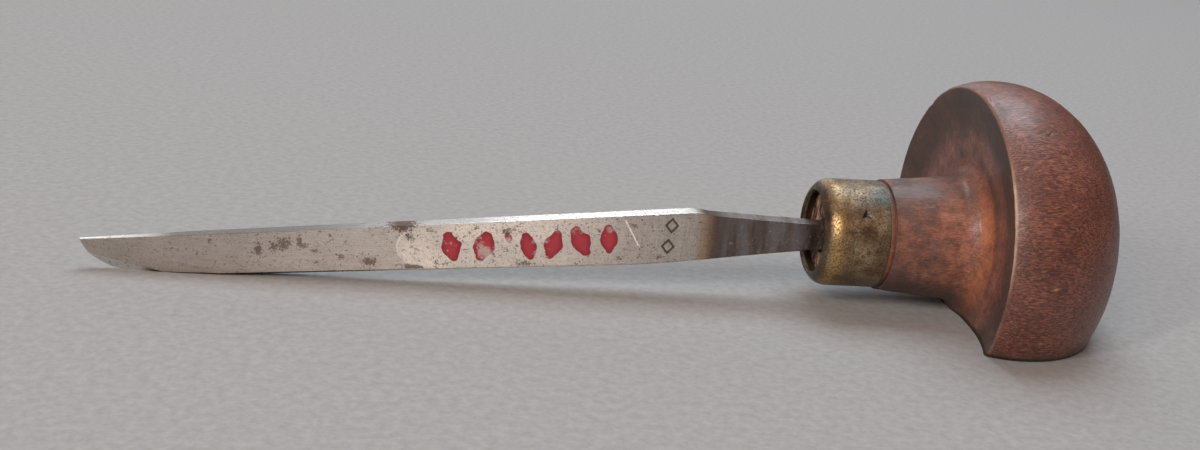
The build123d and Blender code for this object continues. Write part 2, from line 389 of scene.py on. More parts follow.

    # wear and dirt, with painted shade and painted highlights among them, one number a point
    x, y, z = points.T
    radius = np.hypot(y, z - axisHeight)
    side = np.degrees(np.arctan2(y, z - axisHeight))          # 0 on top, below 0 on the near side
    patchy = cloud(points, 3.2, 41, 3)
    boreCount = bore.shape[0] * columns
    fromRim = np.r_[np.full(boreCount, 40.0), np.repeat(rimPlace, columns), 40.0]
    front = np.r_[np.zeros(boreCount), np.repeat(ease(0.1, -0.4, rimPlace) * ease(9.3, 10.4, path[:, 1]),
                                                 columns), 0]
    # amber: an orange tone on the cove and on the ring behind the ferrule, made strong on the near side that
    # faces the lamps as a painted highlight
    lit = ease(-150, -110, side) * ease(-20, -60, side)
    values = {
        "amberAndHighlight": np.clip(hump(x, -7.5, 0.8) * ease(10.5, 9.6, radius) * (0.15 + 0.85 * lit)
                         * (0.9 + 0.35 * patchy)
                         + 0.6 * lit * (1 + 0.6 * patchy) * ease(h["ringX"] + 0.7, h["ringX"] + 0.5, x)
                         * ease(h["ringX"] - 0.05, h["ringX"], x), 0, 1),
        # grime: darker in bands inside and just behind the rim, on the neck, across the top of the front and
        # in the cove's crease; the darkening within 3 mm of the bench, on the low near side of the neck and
        # cove, and in the neck's groove is painted shade
        "grimeAndShade": np.clip(front * (ease(11.8, 16.0, radius) * (1.0 + 0.25 * patchy) + ease(11.6, 10.4, radius)
                                  * 0.3
                                  + ease(-85, -35, side) * ease(45, 5, side) * (0.42 + 0.3 * patchy))
                         + hump(x, h["neckX"] - 0.02, 0.05) * 0.8 + ease(3.0, 0.0, z) * 0.35
                         + 0.6 * hump(fromRim, 1.3, 0.7) * ease(0.1, 0.8, patchy)
                         + ease(-11.0, -17.0, x) * (0.28 + 0.3 * patchy) + ease(-7.0, -9.0, x)
                         * ease(-108, -142, side) * 0.9
                         + ease(-7.0, -8.6, x) * ease(11, 9.5, radius) * ease(-70, -25, side)
                         * ease(60, 20, side)
                         * (0.55 + 0.3 * patchy), 0, 1),
        # worn: the rim's rubbed edge, faint all round and strong on the near side, where it is a painted
        # highlight
        "worn": np.clip(hump(fromRim, 0.05, 0.30) * (0.10 + 0.95 * hump(side, -68, 20))
                        * (0.75 + 0.5 * patchy), 0, 1),
        "chip": np.r_[np.zeros(boreCount), chips, 0],
        "crackAlong": np.r_[np.full(boreCount, 3.0), crackAlong, 3],
        "crackOff": np.r_[np.full(boreCount, 3.0), crackOff, 3],
        # foot: the flat's edge where it meets the bench, painted near black as a contact shadow
        "foot": np.r_[np.zeros(boreCount), ease(0.75, 0.25, flatPoints[:, 2]) * np.repeat(opened, columns),
                      0],
        "endGrain": np.r_[np.ones(boreCount), np.zeros(len(chips)), 1],
        "face": front,
        "neck": ease(h["neckX"] - 0.1, h["neckX"] + 0.1, x) * ease(-7.6, -9.2, x) * ease(11, 9, radius),
    }
    return makePiece("mushroomHandle", points, faceLists, values, "mushroom_handle",
                     material, 40)


def stainedBeech():
    # beech, turned, stained red-brown and rubbed with oil: warm and low in gloss, with short dark
    # flecks along the grain, paler where hands and knocks have cut through the stain; highlights on
    # the rim and the cove, and shade near the bench and under the neck, are painted in
    material, add = newMaterial("turnedStainedBeech")
    told = {name: add("Attribute", out="Fac", attribute_name=name) for name in
            ("neck", "face", "amberAndHighlight", "grimeAndShade", "worn", "chip", "crackAlong", "crackOff", "foot", "endGrain")}
    place = add("TexCoord", out="Object")
    wave = add("TexNoise", {"Vector": place, "Scale": 420.0, "Detail": 1.0}, out="Color")
    bent = add("VectorMath", {0: wave, 1: (0.5, 0.5, 0.5)}, operation="SUBTRACT")
    shift = add("VectorMath", {0: bent, 1: (0.0003, 0.0005, 0.0005)}, operation="MULTIPLY")
    wavy = add("VectorMath", {0: place, 1: shift}, operation="ADD")
    # the dark flecks are about 1 mm long and 0.15 mm high
    fleckSpace = add("Mapping", {"Vector": wavy, "Scale": (1050.0, 6800.0, 6800.0)})
    fleckNoise = add("TexNoise", {"Vector": fleckSpace, "Scale": 1.0, "Detail": 2.0, "Roughness": 0.55})
    flecks = add("ValToRGB", {"Fac": fleckNoise}, stops=[(0.45, 1.0), (0.54, 0.0)])
    paleSpace = add("Mapping", {"Vector": wavy, "Scale": (1700.0, 5600.0, 5600.0),
                                          "Location": (5.0, 2.0, 1.0)})
    paleNoise = add("TexNoise", {"Vector": paleSpace, "Scale": 1.0, "Detail": 1.0})
    pale = add("ValToRGB", {"Fac": paleNoise}, stops=[(0.58, 0.0), (0.72, 1.0)])
    mottle = add("TexNoise", {"Vector": place, "Scale": 190.0, "Detail": 5.0, "Roughness": 0.6})
    body, neckTone, faceTone = [add("ValToRGB", {"Fac": mottle}, stops=handle[part]) for part in
                                ("domeColours", "neckColours", "frontColours")]
    withNeck = add("Mix", {0: told["neck"], 6: body, 7: neckTone}, out=2, data_type="RGBA")
    withFace = add("Mix", {0: told["face"], 6: withNeck, 7: faceTone}, out=2, data_type="RGBA")
    calm = add("Math", {0: told["face"], 1: told["neck"]}, operation="MAXIMUM")
    # rubbed-in dirt leaves the neck and the front mottled at half a millimetre to two
    blotch = add("TexNoise", {"Vector": place, "Scale": 750.0, "Detail": 7.0, "Roughness": 0.75})
    blotchLow = add("MapRange", {"Value": calm, "To Min": 0.90, "To Max": 0.55})
    blotchHigh = add("MapRange", {"Value": calm, "To Min": 1.08, "To Max": 1.28})
    blotchTone = add("MapRange", {"Value": blotch, "From Min": 0.36, "From Max": 0.64,
                                            "To Min": blotchLow, "To Max": blotchHigh})
    colour = add("VectorMath", {0: withFace, 3: blotchTone}, operation="SCALE")
    fleckFade = add("MapRange", {"Value": calm, "To Min": 0.70, "To Max": 0.34})
    amberAndHighlightPatchy = add("MapRange", {"Value": blotch, "From Min": 0.36, "From Max": 0.64,
                                             "To Min": 0.20, "To Max": 0.85})
    # the crack is dark where a point is near it both ways, and the foot on the bench is drawn as dark as the
    # crack, a painted contact shadow
    alongSize = add("Math", {0: told["crackAlong"]}, operation="ABSOLUTE")
    offSize = add("Math", {0: told["crackOff"]}, operation="ABSOLUTE")
    crackEnds = add("MapRange", {"Value": alongSize, "From Min": 1.0, "From Max": 0.3})
    crackWidth = add("MapRange", {"Value": offSize, "From Min": 0.15, "From Max": 0.07})
    crack = add("Math", {0: crackEnds, 1: crackWidth}, operation="MULTIPLY")
    crackAndFootShadow = add("Math", {0: crack, 1: told["foot"]}, operation="MAXIMUM")
    # each layer of colour covers those before it by a mask, times a strength where it has one
    for mask, strength, tone in (
            (flecks, fleckFade, handle["fleckColour"]), (pale, 0.30, handle["paleFleckColour"]),
            (told["amberAndHighlight"], amberAndHighlightPatchy, handle["amberAndHighlightColour"]), (told["grimeAndShade"], 0.81, handle["grimeAndShadeColour"]),
            (told["worn"], None, handle["wornColour"]), (told["chip"], 0.7, handle["chipColour"]),
            (crackAndFootShadow, None, handle["crackAndShadowColour"])):
        share = mask
        if strength is not None:
            share = add("Math", {0: mask, 1: strength}, operation="MULTIPLY")
        colour = add("Mix", {0: share, 6: colour, 7: tone}, out=2, data_type="RGBA")
    # the end grain in the ferrule is raw, brown and streaked
    endSpace = add("Mapping", {"Vector": place, "Scale": (300.0, 2600.0, 700.0)})
    endNoise = add("TexNoise", {"Vector": endSpace, "Scale": 1.0, "Detail": 4.0, "Roughness": 0.7})
    endTone = add("ValToRGB", {"Fac": endNoise}, stops=handle["endGrainColours"])
    colour = add("Mix", {0: told["endGrain"], 6: colour, 7: endTone}, out=2, data_type="RGBA")
    gloss = add("MapRange", {"Value": fleckNoise, "From Min": 0.3, "From Max": 0.7,
                                       "To Min": 0.56, "To Max": 0.40})
    handled = add("Math", {0: told["worn"], 1: -0.27, 2: gloss}, operation="MULTIPLY_ADD")
    roughness = add("Math", {0: told["grimeAndShade"], 1: 0.15, 2: handled}, operation="MULTIPLY_ADD")
    bump = add("Bump", {"Height": fleckNoise, "Strength": 0.45, "Distance": 0.00014})
    # the polish is broken up by handling, so the sheen comes in patches
    coatRoughness = add("MapRange", {"Value": mottle, "From Min": 0.40, "From Max": 0.60,
                                               "To Min": 0.34, "To Max": 0.16})
    finishMaterial(add, {"Base Color": colour, "Roughness": roughness, "Normal": bump, "IOR": 1.5,
                          "Coat Weight": 0.22, "Coat Roughness": coatRoughness})
    return material


# Ferrule: drawn brass tube with a rolled nose

ferrule = {
    "backX": -18.55, "outer": 6.7, "wall": 0.7, "noseR": 2.2, "noseTurn": 72.0, "lipSoft": 0.22,
    "lipBlunt": 0.6,
    "around": 288,
    "punch": (3.05, 36.5, 0.42),       # back from the ferrule's back edge, degrees above level, size
    "scratchAngle": 18.0,
    "tarnishColours": [(0.36, "#604c3a"), (0.50, "#8c7557"), (0.64, "#a89d84")],
    # the dirt colour also paints the shade inside the tube
    "rubbedColour": "#cba971", "verdigrisColour": "#5f6560", "dirtAndShadeColour": "#54402f",
    "speckColour": "#33271c", "pitColour": "#2b2521",
}


def buildFerrule(material):
    # the tube's cut outline, wall and rolled nose, is turned about the handle axis as one loop
    f = ferrule
    bendX, bendR = mouthX + f["noseR"], f["outer"] - f["noseR"]
    inner = f["noseR"] - f["wall"]
    bore = f["outer"] - f["wall"]
    onBend = lambda radius, degrees: np.array([bendX - radius * math.sin(math.radians(degrees)),
                                               bendR + radius * math.cos(math.radians(degrees))])
    turn, soft = f["noseTurn"], f["lipSoft"]
    softTurn = math.degrees(soft / f["noseR"])
    lipOut, lipIn = onBend(f["noseR"], turn), onBend(inner, turn)
    middle = (lipOut + lipIn) / 2
    across = (lipOut - lipIn) / np.linalg.norm(lipOut - lipIn)
    ahead = np.array([across[1], -across[0]])
    ahead = ahead if ahead[1] < 0 else -ahead
    half = f["wall"] / 2
    lipTurn = np.linspace(0, np.pi, 13)[:, None]
    lip = (middle + across * half * np.cos(lipTurn)
           + ahead * soft * np.sin(lipTurn) ** f["lipBlunt"] - ahead * soft)
    outerArc = np.array([onBend(f["noseR"], a) for a in np.linspace(0, turn - softTurn, 26)])
    innerArc = np.array([onBend(inner, a) for a in np.linspace(turn - softTurn * 1.4, 0, 12)])
    path = np.concatenate([
        [(f["backX"], f["outer"] - 0.06), (f["backX"] - 0.05, f["outer"])],
        linePoints((f["backX"] - 0.15, f["outer"]), (bendX, f["outer"]), 40)[:-1],
        outerArc, lip[1:-1], innerArc,
        linePoints((bendX, bore), (f["backX"], bore), 14)[1:],
        [(f["backX"], bore + 0.3)],
    ])
    columns = f["around"]
    angle = np.arange(columns) * math.tau / columns
    reach = path[:, 1:2]
    skin = np.stack([np.broadcast_to(path[:, :1], (len(path), columns)), reach * np.sin(angle),
                     axisHeight + reach * np.cos(angle)], 2).reshape(-1, 3)
    outerRows = 2 + 39 + len(outerArc) + 6      # the cut edge, the tube, the nose and half the lip
    outside = np.repeat(np.arange(len(path)) < outerRows, columns).astype(float)
    ring = np.tile(angle, len(path))
    ring = np.where(ring > np.pi, ring - math.tau, ring)
    up = np.degrees(np.arctan2(skin[:, 2] - axisHeight, -skin[:, 1]))      # above level, on the near side

    # hollows: rolling marks, the punch mark with its pushed-in surround, and one scratch
    back, punchUp, size = f["punch"]
    alongPunch = skin[:, 0] - (f["backX"] - back)
    acrossPunch = np.radians(up - punchUp) * f["outer"]
    around = np.arctan2(acrossPunch, alongPunch)
    triangle = np.hypot(alongPunch, acrossPunch) * np.cos((around + np.pi / 2 + np.pi / 3) % (math.tau / 3)
                                                          - np.pi / 3)
    hollow = 0.24 * ease(size, 0.10, triangle) + 0.10 * np.exp(-(np.hypot(alongPunch, acrossPunch)
                                                                 / 1.1) ** 2)
    scratch = np.exp(-((np.radians(up - f["scratchAngle"]) * f["outer"] - 0.05 * (skin[:, 0] + 22))
                       / 0.085) ** 2)
    scratch *= ease(-24.5, -24.0, skin[:, 0]) * ease(-19.9, -20.4, skin[:, 0])
    hollow += 0.02 * (cloud(skin, 3.5, 61, 2) + 1) + 0.03 * scratch
    hollow += 0.05 * ease(0.75, 1.3, cloud(skin, 1.3, 67, 2))
    skin[:, 1] -= np.sin(ring) * hollow * outside
    skin[:, 2] -= np.cos(ring) * hollow * outside

    number = np.arange(len(path) * columns).reshape(len(path), columns)
    after = np.roll(number, -1, axis=1)
    nextRow, nextAfter = np.roll(number, -1, axis=0), np.roll(after, -1, axis=0)
    quads = np.stack([number, nextRow, nextAfter, after], -1).reshape(-1, 4)[:, ::-1]

    noisy = cloud(skin, 2.4, 71, 4)
    x = skin[:, 0]
    values = {
        "bright": np.clip(hump(x, -24.9, 0.85) * (0.25 + 0.75 * ease(55, 10, up)) * (0.9 + 0.45 * noisy)
                          * outside, 0, 1),
        "green": np.clip(ease(34, 62, up) * ease(-24.2, -22.0, x) * (0.55 + 0.6 * noisy)
                         + 0.45 * hump(x, -18.9, 0.30) * ease(-10, 30, up), 0, 1) * outside,
        # dirt: darker below level and underneath, at the back edge, in the scratch and round the punch; the
        # inside of the tube, seen at the lip, is painted shade
        "dirtAndShade": np.clip(ease(0, -45, up) * (0.6 + 0.3 * noisy) * (1 - 0.75 * hump(x, -24.9, 1.3)) + 0.6
                        * hump(x, -18.6, 0.12) + 0.85 * scratch
                        + 0.75 * np.exp(-(np.hypot(alongPunch + 0.6, acrossPunch) / 0.9) ** 2)
                        + 0.5 * ease(0.35, 1.0, noisy) * ease(30, 0, up), 0, 1) * outside
                + (1 - outside) * 0.85,
        # pit: the punch mark and the scratch, and the nose's front lip drawn dark all round
        "pitsAndDarkLip": np.clip(ease(size * 1.15, size * 0.75, triangle) + 0.6 * scratch * (0.6 + 0.5 * noisy)
                       + 0.9 * ease(mouthX + 1.0, mouthX + 0.5, x) * (0.8 + 0.25 * noisy), 0, 1) * outside,
    }
    return makePiece("ferrule", skin, [quads], values, "ferrule", material, 50)


def agedBrass():
    # drawn brass, rolled over at the nose and never cleaned: an olive-brown, speckled tarnish,
    # with the metal's own yellow only where it is rubbed, and painted shade on the inside of the lip
    material, add = newMaterial("agedDrawnBrass")
    told = {name: add("Attribute", out="Fac", attribute_name=name) for name in
            ("bright", "green", "dirtAndShade", "pitsAndDarkLip")}
    place = add("TexCoord", out="Object")
    clouds = add("TexNoise", {"Vector": place, "Scale": 360.0, "Detail": 7.0, "Roughness": 0.68})
    # tarnish specks are under 0.15 mm, drawn near 0.2 mm so that they show
    specks = add("TexNoise", {"Vector": place, "Scale": 4300.0, "Detail": 2.5, "Roughness": 0.7})
    dirtAndShadeShare = add("Math", {0: told["dirtAndShade"], 1: 0.8}, operation="MULTIPLY")
    speckRamp = add("ValToRGB", {"Fac": specks}, stops=[(0.47, 0.0), (0.61, 1.0)])
    speckShare = add("Math", {0: speckRamp, 1: 0.70}, operation="MULTIPLY")
    colour = add("ValToRGB", {"Fac": clouds}, stops=ferrule["tarnishColours"])
    for share, tone in ((told["bright"], "rubbedColour"), (told["green"], "verdigrisColour"),
                        (dirtAndShadeShare, "dirtAndShadeColour"), (speckShare, "speckColour"), (told["pitsAndDarkLip"], "pitColour")):
        colour = add("Mix", {0: share, 6: colour, 7: ferrule[tone]}, out=2, data_type="RGBA")
    clean = add("MapRange", {"Value": told["bright"], "To Min": 0.50, "To Max": 0.88})
    metal = add("Math", {0: dirtAndShadeShare, 1: -0.45, 2: clean}, operation="MULTIPLY_ADD")
    dull = add("MapRange", {"Value": clouds, "From Min": 0.3, "From Max": 0.7,
                                      "To Min": 0.27, "To Max": 0.46})
    corroded = add("Math", {0: told["green"], 1: 0.16, 2: dull}, operation="MULTIPLY_ADD")
    roughness = add("Math", {0: speckShare, 1: 0.3, 2: corroded}, operation="MULTIPLY_ADD")
    bump = add("Bump", {"Height": specks, "Strength": 0.3, "Distance": 0.00006})
    finishMaterial(add, {"Base Color": colour, "Metallic": metal, "Roughness": roughness, "Normal": bump})
    return material


# Blade: forged and ground tool steel

blade = {
    "tipZ": 3.5, "noseRun": 5.3, "noseBow": 0.95, "heelX": -98.0,
    "rootX": -42.2, "rootZ": 10.795, "shoulderSoft": 2.5, "shoulderDrop": 0.2, "shoulderBow": 0.1,
    "bellyX": -50.0, "bellyZ": 3.602, "waist": (-35.5, 5.495), "bellySlope": 0.075, "mouthSlope": 0.1412,
    "tipWide": 0.6, "narrowWide": 1.7, "narrowX": -101.0, "bellySoft": 0.25, "topSoft": 0.07,
    "bevelHigh": (1.6, 1.75), "bevelLow": (7.4, 0.5), "keel": (3.4, 0.15),
    "step": 0.15, "topRows": 8, "sideRows": 40, "bellyRows": 10,
    # paint dabs: (x, share of the height, lean, half length, middle radius, end radius)
    "dabs": [(-70.9, 0.50, 0.45, 1.30, 1.20, 0.55), (-67.0, 0.49, -0.30, 1.30, 1.35, 0.65),
             (-64.2, 0.66, 0.10, 0.12, 0.45, 0.40),
             (-61.7, 0.45, 0.35, 1.25, 1.00, 0.55), (-58.6, 0.47, -0.35, 1.30, 1.15, 0.60),
             (-55.3, 0.52, 0.70, 1.20, 1.15, 0.65),
             (-51.9, 0.54, 0.15, 1.35, 1.10, 0.55)],
    "lozenges": [(-44.35, 9.05), (-44.6, 6.35)],
    # old stains: (x, z, half length, half height, strength)
    "stains": [(-93.5, 3.45, 0.55, 0.85, 1.0), (-91.6, 3.9, 0.75, 0.6, 0.9), (-90.6, 4.35, 0.9, 0.85, 1.0),
               (-88.8, 4.75, 0.35, 1.1, 0.9),
               (-88.3, 4.2, 0.65, 0.35, 0.75), (-87.0, 3.6, 0.6, 0.35, 0.7), (-83.9, 3.05, 0.5, 0.3, 0.7),
               (-80.6, 2.6, 1.0, 0.55, 1.0),
               (-75.9, 5.9, 0.6, 0.6, 0.8), (-75.2, 2.1, 1.4, 0.4, 1.0), (-62.2, 3.3, 1.0, 0.45, 0.8),
               (-45.5, 5.0, 0.9, 0.35, 0.5),
               (-104.0, 3.0, 0.4, 0.3, 0.5), (-99.0, 4.2, 0.4, 0.25, 0.5), (-85.2, 5.6, 0.4, 0.25, 0.6),
               (-73.6, 7.0, 0.5, 0.3, 0.7),
               (-72.6, 3.0, 0.4, 0.3, 0.7), (-64.4, 7.2, 0.7, 0.4, 0.9), (-49.2, 8.8, 0.6, 0.3, 0.6),
               (-50.4, 4.4, 0.5, 0.3, 0.6)],
    # colours: the steel's from the tip to the shoulder, pale in the middle as a painted glare, the top's
    # from dull to worn, the varnish's, near white as a painted glare, and the tang's by a mottle, the heat's
    # along the shoulder, the paint's from its edge inwards
    "steelAndGlareColours": [(0.0, "#bdb3aa"), (0.20, "#d4c9bf"), (0.42, "#f7ece0"), (0.62, "#fff6ec"),
                     (0.80, "#eee2d7"), (1.0, "#cfc5bc")],
    "topColours": [(0.0, "#4c4b47"), (0.3, "#8a8984"), (1.0, "#f4f4f3")],
    "varnishAndGlareColours": [(0.34, "#b9ab9c"), (0.46, "#f2e8dc"), (0.64, "#fffdf8")],
    "tangColours": [(0.36, "#584b45"), (0.47, "#776a64"), (0.56, "#858284"), (0.68, "#8f7c72")],
    "heatColours": [(0.0, "#ffffff"), (0.20, "#e2cdb8"), (0.36, "#a08b7c"), (0.52, "#86868f"),
                    (0.70, "#9b9a9b"), (1.0, "#96928f")],
    "paintColours": [(0.0, "#6e1a26"), (0.18, "#9a2834"), (0.8, "#b13a45")],
    # the bevel colour is also a painted reflection, the score colour a painted glint, the belly's colour
    # painted shade
    "bevelAndReflectionColour": "#e2e6e6", "pitColour": "#463a33", "scoreGlintColour": "#fffaf2", "stainColour": "#483b3a",
    "rustColour": "#553b30", "markColour": "#3b322d", "bellyShadeColour": "#1c1614", "glintColour": "#cbc4bd",
    "tangPitColour": "#2f2825",
    # wear along the top edge: (x, how worn)
    "topWear": [(-113.8, 1), (-110, 0.9), (-106, 0.6), (-103, 0.22), (-88, 0.22), (-82, 0.38), (-78, 0.5),
                (-71, 0.58), (-68, 0.65), (-64, 0.9), (-60, 1), (-44, 1), (-42, 0.8), (-40.2, 0.1)],
}


def bladeOutline(b, x):
    # heights of the top and the belly, and the thickness, at each place along the blade
    topSlope = (b["rootZ"] - b["tipZ"]) / (b["rootX"] - tipX)
    softEnd = b["rootX"] + b["shoulderSoft"]
    tangTop = tang["mouthZ"] + tang["mouthTall"] / 2
    tangLow = tang["mouthZ"] - tang["mouthTall"] / 2
    t = np.clip((x - b["rootX"]) / b["shoulderSoft"], 0, 1)
    shoulder = b["rootZ"] - b["shoulderDrop"] * t + 4 * b["shoulderBow"] * t * (1 - t)
    share = np.clip((x - softEnd) / (mouthX - softEnd), 0, 1)
    tangLine = (b["rootZ"] - b["shoulderDrop"]) * (1 - share) + tangTop * share
    top = np.where(x < b["rootX"], b["tipZ"] + topSlope * (x - tipX),
                   np.where(x < softEnd, shoulder, tangLine))

    chord = math.hypot(b["noseRun"], b["tipZ"])
    arcR = (chord ** 2 / 4 + b["noseBow"] ** 2) / (2 * b["noseBow"])
    lift = (arcR - b["noseBow"]) / chord
    arcX = tipX + b["noseRun"] / 2 + b["tipZ"] * lift
    arcZ = b["tipZ"] / 2 + b["noseRun"] * lift
    nose = arcZ - np.sqrt(np.maximum(arcR ** 2 - (x - arcX) ** 2, 0))

    # two cubic runs carry the belly into the tang, with one slope where they meet
    waistX, waistZ = b["waist"]
    runs = (waistX - b["bellyX"], mouthX - waistX)
    slopes = ((waistZ - b["bellyZ"]) / runs[0], (tangLow - waistZ) / runs[1])
    middle = (3 * (slopes[0] / runs[0] + slopes[1] / runs[1])
              - b["bellySlope"] / runs[0] - b["mouthSlope"] / runs[1])
    middle /= 2 * (1 / runs[0] + 1 / runs[1])

    def cubic(x0, run, z0, z1, s0, s1):
        t = np.clip((x - x0) / run, 0, 1)
        return ((2 * t ** 3 - 3 * t ** 2 + 1) * z0 + (t ** 3 - 2 * t ** 2 + t) * run * s0
                + (3 * t ** 2 - 2 * t ** 3) * z1 + (t ** 3 - t ** 2) * run * s1)

    belly = np.where(x < tipX + b["noseRun"], nose, 0)
    belly = np.where(x > b["heelX"], b["bellySlope"] * (x - b["heelX"]), belly)
    belly = np.where(x > b["bellyX"], cubic(b["bellyX"], runs[0], b["bellyZ"], waistZ, b["bellySlope"],
                                            middle), belly)
    belly = np.where(x > waistX, cubic(waistX, runs[1], waistZ, tangLow, middle, b["mouthSlope"]), belly)
    wide = np.interp(x, [tipX, b["narrowX"], mouthX], [b["tipWide"], b["narrowWide"], tang["mouthWide"]])

    # inside the ferrule and the handle it is the spike
    deep = np.clip((x - mouthX) / tang["spikeLong"], 0, 1)
    middleZ = tang["mouthZ"] + (axisHeight - tang["mouthZ"]) * deep
    tall = tang["mouthTall"] + (tang["spikeTall"] - tang["mouthTall"]) * deep
    inside = x > mouthX
    top = np.where(inside, middleZ + tall / 2, top)
    belly = np.where(inside, middleZ - tall / 2, belly)
    wide = np.where(inside, tang["mouthWide"] + (tang["spikeWide"] - tang["mouthWide"]) * deep, wide)
    return top, belly, wide


def buildBlade(material):
    # one closed section a step along the blade: half the top, a side and half the belly from the
    # middle outwards and down, then the same mirrored. Below the nose the belly is the higher of
    # its own line and the ground plane, which rises outwards from the keel
    b = blade
    near = np.arange(tipX, tipX + 9, 0.09)
    x = np.concatenate([near, np.arange(tipX + 9, mouthX, b["step"]),
                        np.linspace(mouthX, mouthX + tang["spikeLong"], 26)])
    measured = np.maximum(x, tipX + 0.04)
    top, belly, wide = bladeOutline(b, measured)
    half = wide / 2

    corner = []
    for run, z in (b["bevelHigh"], b["bevelLow"], b["keel"]):
        w = b["tipWide"] + (b["narrowWide"] - b["tipWide"]) * run / (b["narrowX"] - tipX)
        corner.append((1, run, w / 2 if (run, z) != b["keel"] else 0, z))
    corner = np.array(corner)
    planeA, planeB, planeC = np.linalg.solve(corner[:, :3], corner[:, 3])

    fine = np.sin(np.linspace(0, np.pi / 2, b["topRows"] + 1))
    coarse = np.sin(np.linspace(np.pi / 2, 0, b["bellyRows"] + 1))
    topY = half[:, None] * fine
    topSoft = np.minimum(b["topSoft"], half * 0.5)[:, None]
    rounded = np.maximum(topY - (half[:, None] - topSoft), 0)
    topZ = top[:, None] - (topSoft - np.sqrt(np.maximum(topSoft ** 2 - rounded ** 2, 0)))
    bellyY = half[:, None] * coarse
    bellySoft = np.interp(measured, [tipX + 9, tipX + 14], [0.06, b["bellySoft"]])[:, None]
    rounded = np.maximum(bellyY - (half[:, None] - bellySoft), 0)
    bellyZ = belly[:, None] + bellySoft - np.sqrt(np.maximum(bellySoft ** 2 - rounded ** 2, 0))
    ground = planeA + planeB * (measured[:, None] - tipX) + planeC * bellyY
    ground = np.where(measured[:, None] < tipX + 12, ground, -1)
    bellyZ = np.minimum(np.maximum(bellyZ, ground), topZ[:, -1:] - 0.004)
    share = np.linspace(0, 1, b["sideRows"] + 1)[1:-1]
    sideZ = topZ[:, -1:] + (bellyZ[:, :1] - topZ[:, -1:]) * share
    sideY = np.repeat(half[:, None], len(share), 1)
    y = np.concatenate([topY, sideY, bellyY], 1)
    z = np.concatenate([topZ, sideZ, bellyZ], 1)
    loopY = np.concatenate([-y, y[:, -2:0:-1]], 1)
    loopZ = np.concatenate([z, z[:, -2:0:-1]], 1)
    columns = loopY.shape[1]
    part = np.concatenate([np.zeros(b["topRows"]), np.ones(len(share) + 2), np.full(b["bellyRows"], 2.0)])
    part = np.concatenate([part, part[-2:0:-1]])
    placeX = np.repeat(x, columns)
    points = np.stack([placeX, loopY.ravel(), loopZ.ravel()], 1)
    place = np.tile(part, len(x))
    nearSide = (place == 1) & (points[:, 1] < 0)
    topSide = place == 0
    placeZ = points[:, 2]
    topAt, bellyAt = np.repeat(top, columns), np.repeat(belly, columns)

    # paint: leaf-shaped dabs, each a short line whose radius swells to its middle by a half sine
    paint = np.full(len(points), -3.0)
    for dabX, level, lean, length, rMiddle, rEnd in b["dabs"]:
        middleZ = np.interp(dabX, x, belly) + level * (np.interp(dabX, x, top) - np.interp(dabX, x, belly))
        startX, startZ, endX, endZ = dabX - lean, middleZ + length, dabX + lean, middleZ - length
        dx, dz = endX - startX, endZ - startZ
        t = np.clip(((placeX - startX) * dx + (placeZ - startZ) * dz) / (dx * dx + dz * dz), 0, 1)
        gap = np.hypot(placeX - startX - t * dx, placeZ - startZ - t * dz)
        paint = np.maximum(paint, rEnd + (rMiddle - rEnd) * np.sin(np.pi * t) - gap)
    paint += 0.14 * cloud(points, 0.8, 81, 3)
    paint = np.where(nearSide, paint, -3.0)

    # varnish patch: from a rounded end at the left, thinning out towards a slanting scratch; it is
    # thickest low down at its left and high up further along
    leftEnd = -77.3 + 0.22 * (placeZ - 4.7) ** 2
    rightEnd = -50.2 + 0.6 * (9.54 - placeZ)
    level = np.clip((placeZ - bellyAt) / np.maximum(topAt - bellyAt, 1e-6), 0, 1)
    varnish = ease(-0.05, 0.35, np.minimum(placeX - leftEnd, rightEnd - placeX) + 0.12
                   * cloud(points, 1.1, 91, 3))
    varnish *= np.interp(placeX, [-77, -70, -62, -56, -52, -48], [1.0, 0.9, 0.85, 0.55, 0.25, 0.0])
    varnish *= 0.55 + 0.45 * np.abs(ease(-73, -69, placeX) - ease(0.75, 0.35, level))
    varnish = np.clip(varnish * (0.9 + 0.22 * cloud(points, (2.2, 1.0, 0.9), 93, 3)), 0, 1) * nearSide
    slant = 0.857 * np.abs(placeX - rightEnd) + 6 * np.maximum(0, np.abs(placeZ - 7.8) - 1.75)
    slant = np.where(nearSide, np.clip(0.12 - slant, -1, 0.12), -1)
    crescent = np.abs(placeX - leftEnd) + 3 * np.maximum(0, np.abs(placeZ - 4.9) - 1.7)
    crescent = np.where(nearSide, np.clip(0.22 - crescent, -1, 0.22), -1)

    # two hollow lozenges punched near the tang: how far each point is from their outlines
    lozenge = np.full(len(points), 9.0)
    for markX, markZ in b["lozenges"]:
        lozenge = np.minimum(lozenge, np.abs(np.abs(placeX - markX) / 0.72 + np.abs(placeZ - markZ) / 0.85
                                             - 1) * 0.55)
    lozenge = np.where(nearSide, lozenge, 9.0)

    stain = np.zeros(len(points))
    for sx, sz, rx, rz, strength in b["stains"]:
        stain = np.maximum(stain, strength * np.exp(-((placeX - sx) / rx) ** 2 - ((placeZ - sz) / rz) ** 2))
    stain = np.where(nearSide, stain, 0)
    farSide = (place == 1) & (points[:, 1] > 0)
    stain += np.where(farSide, 0.8 * ease(0.75, 1.35, cloud(points, (5.0, 2.0, 2.5), 95, 3)), 0)
    rust = hump(placeX, -76.9, 1.9) * ease(1.5, 0.1, topAt - placeZ + 0.25 * np.abs(placeX + 76.2))
    rust *= np.where(nearSide | topSide, 1, 0)

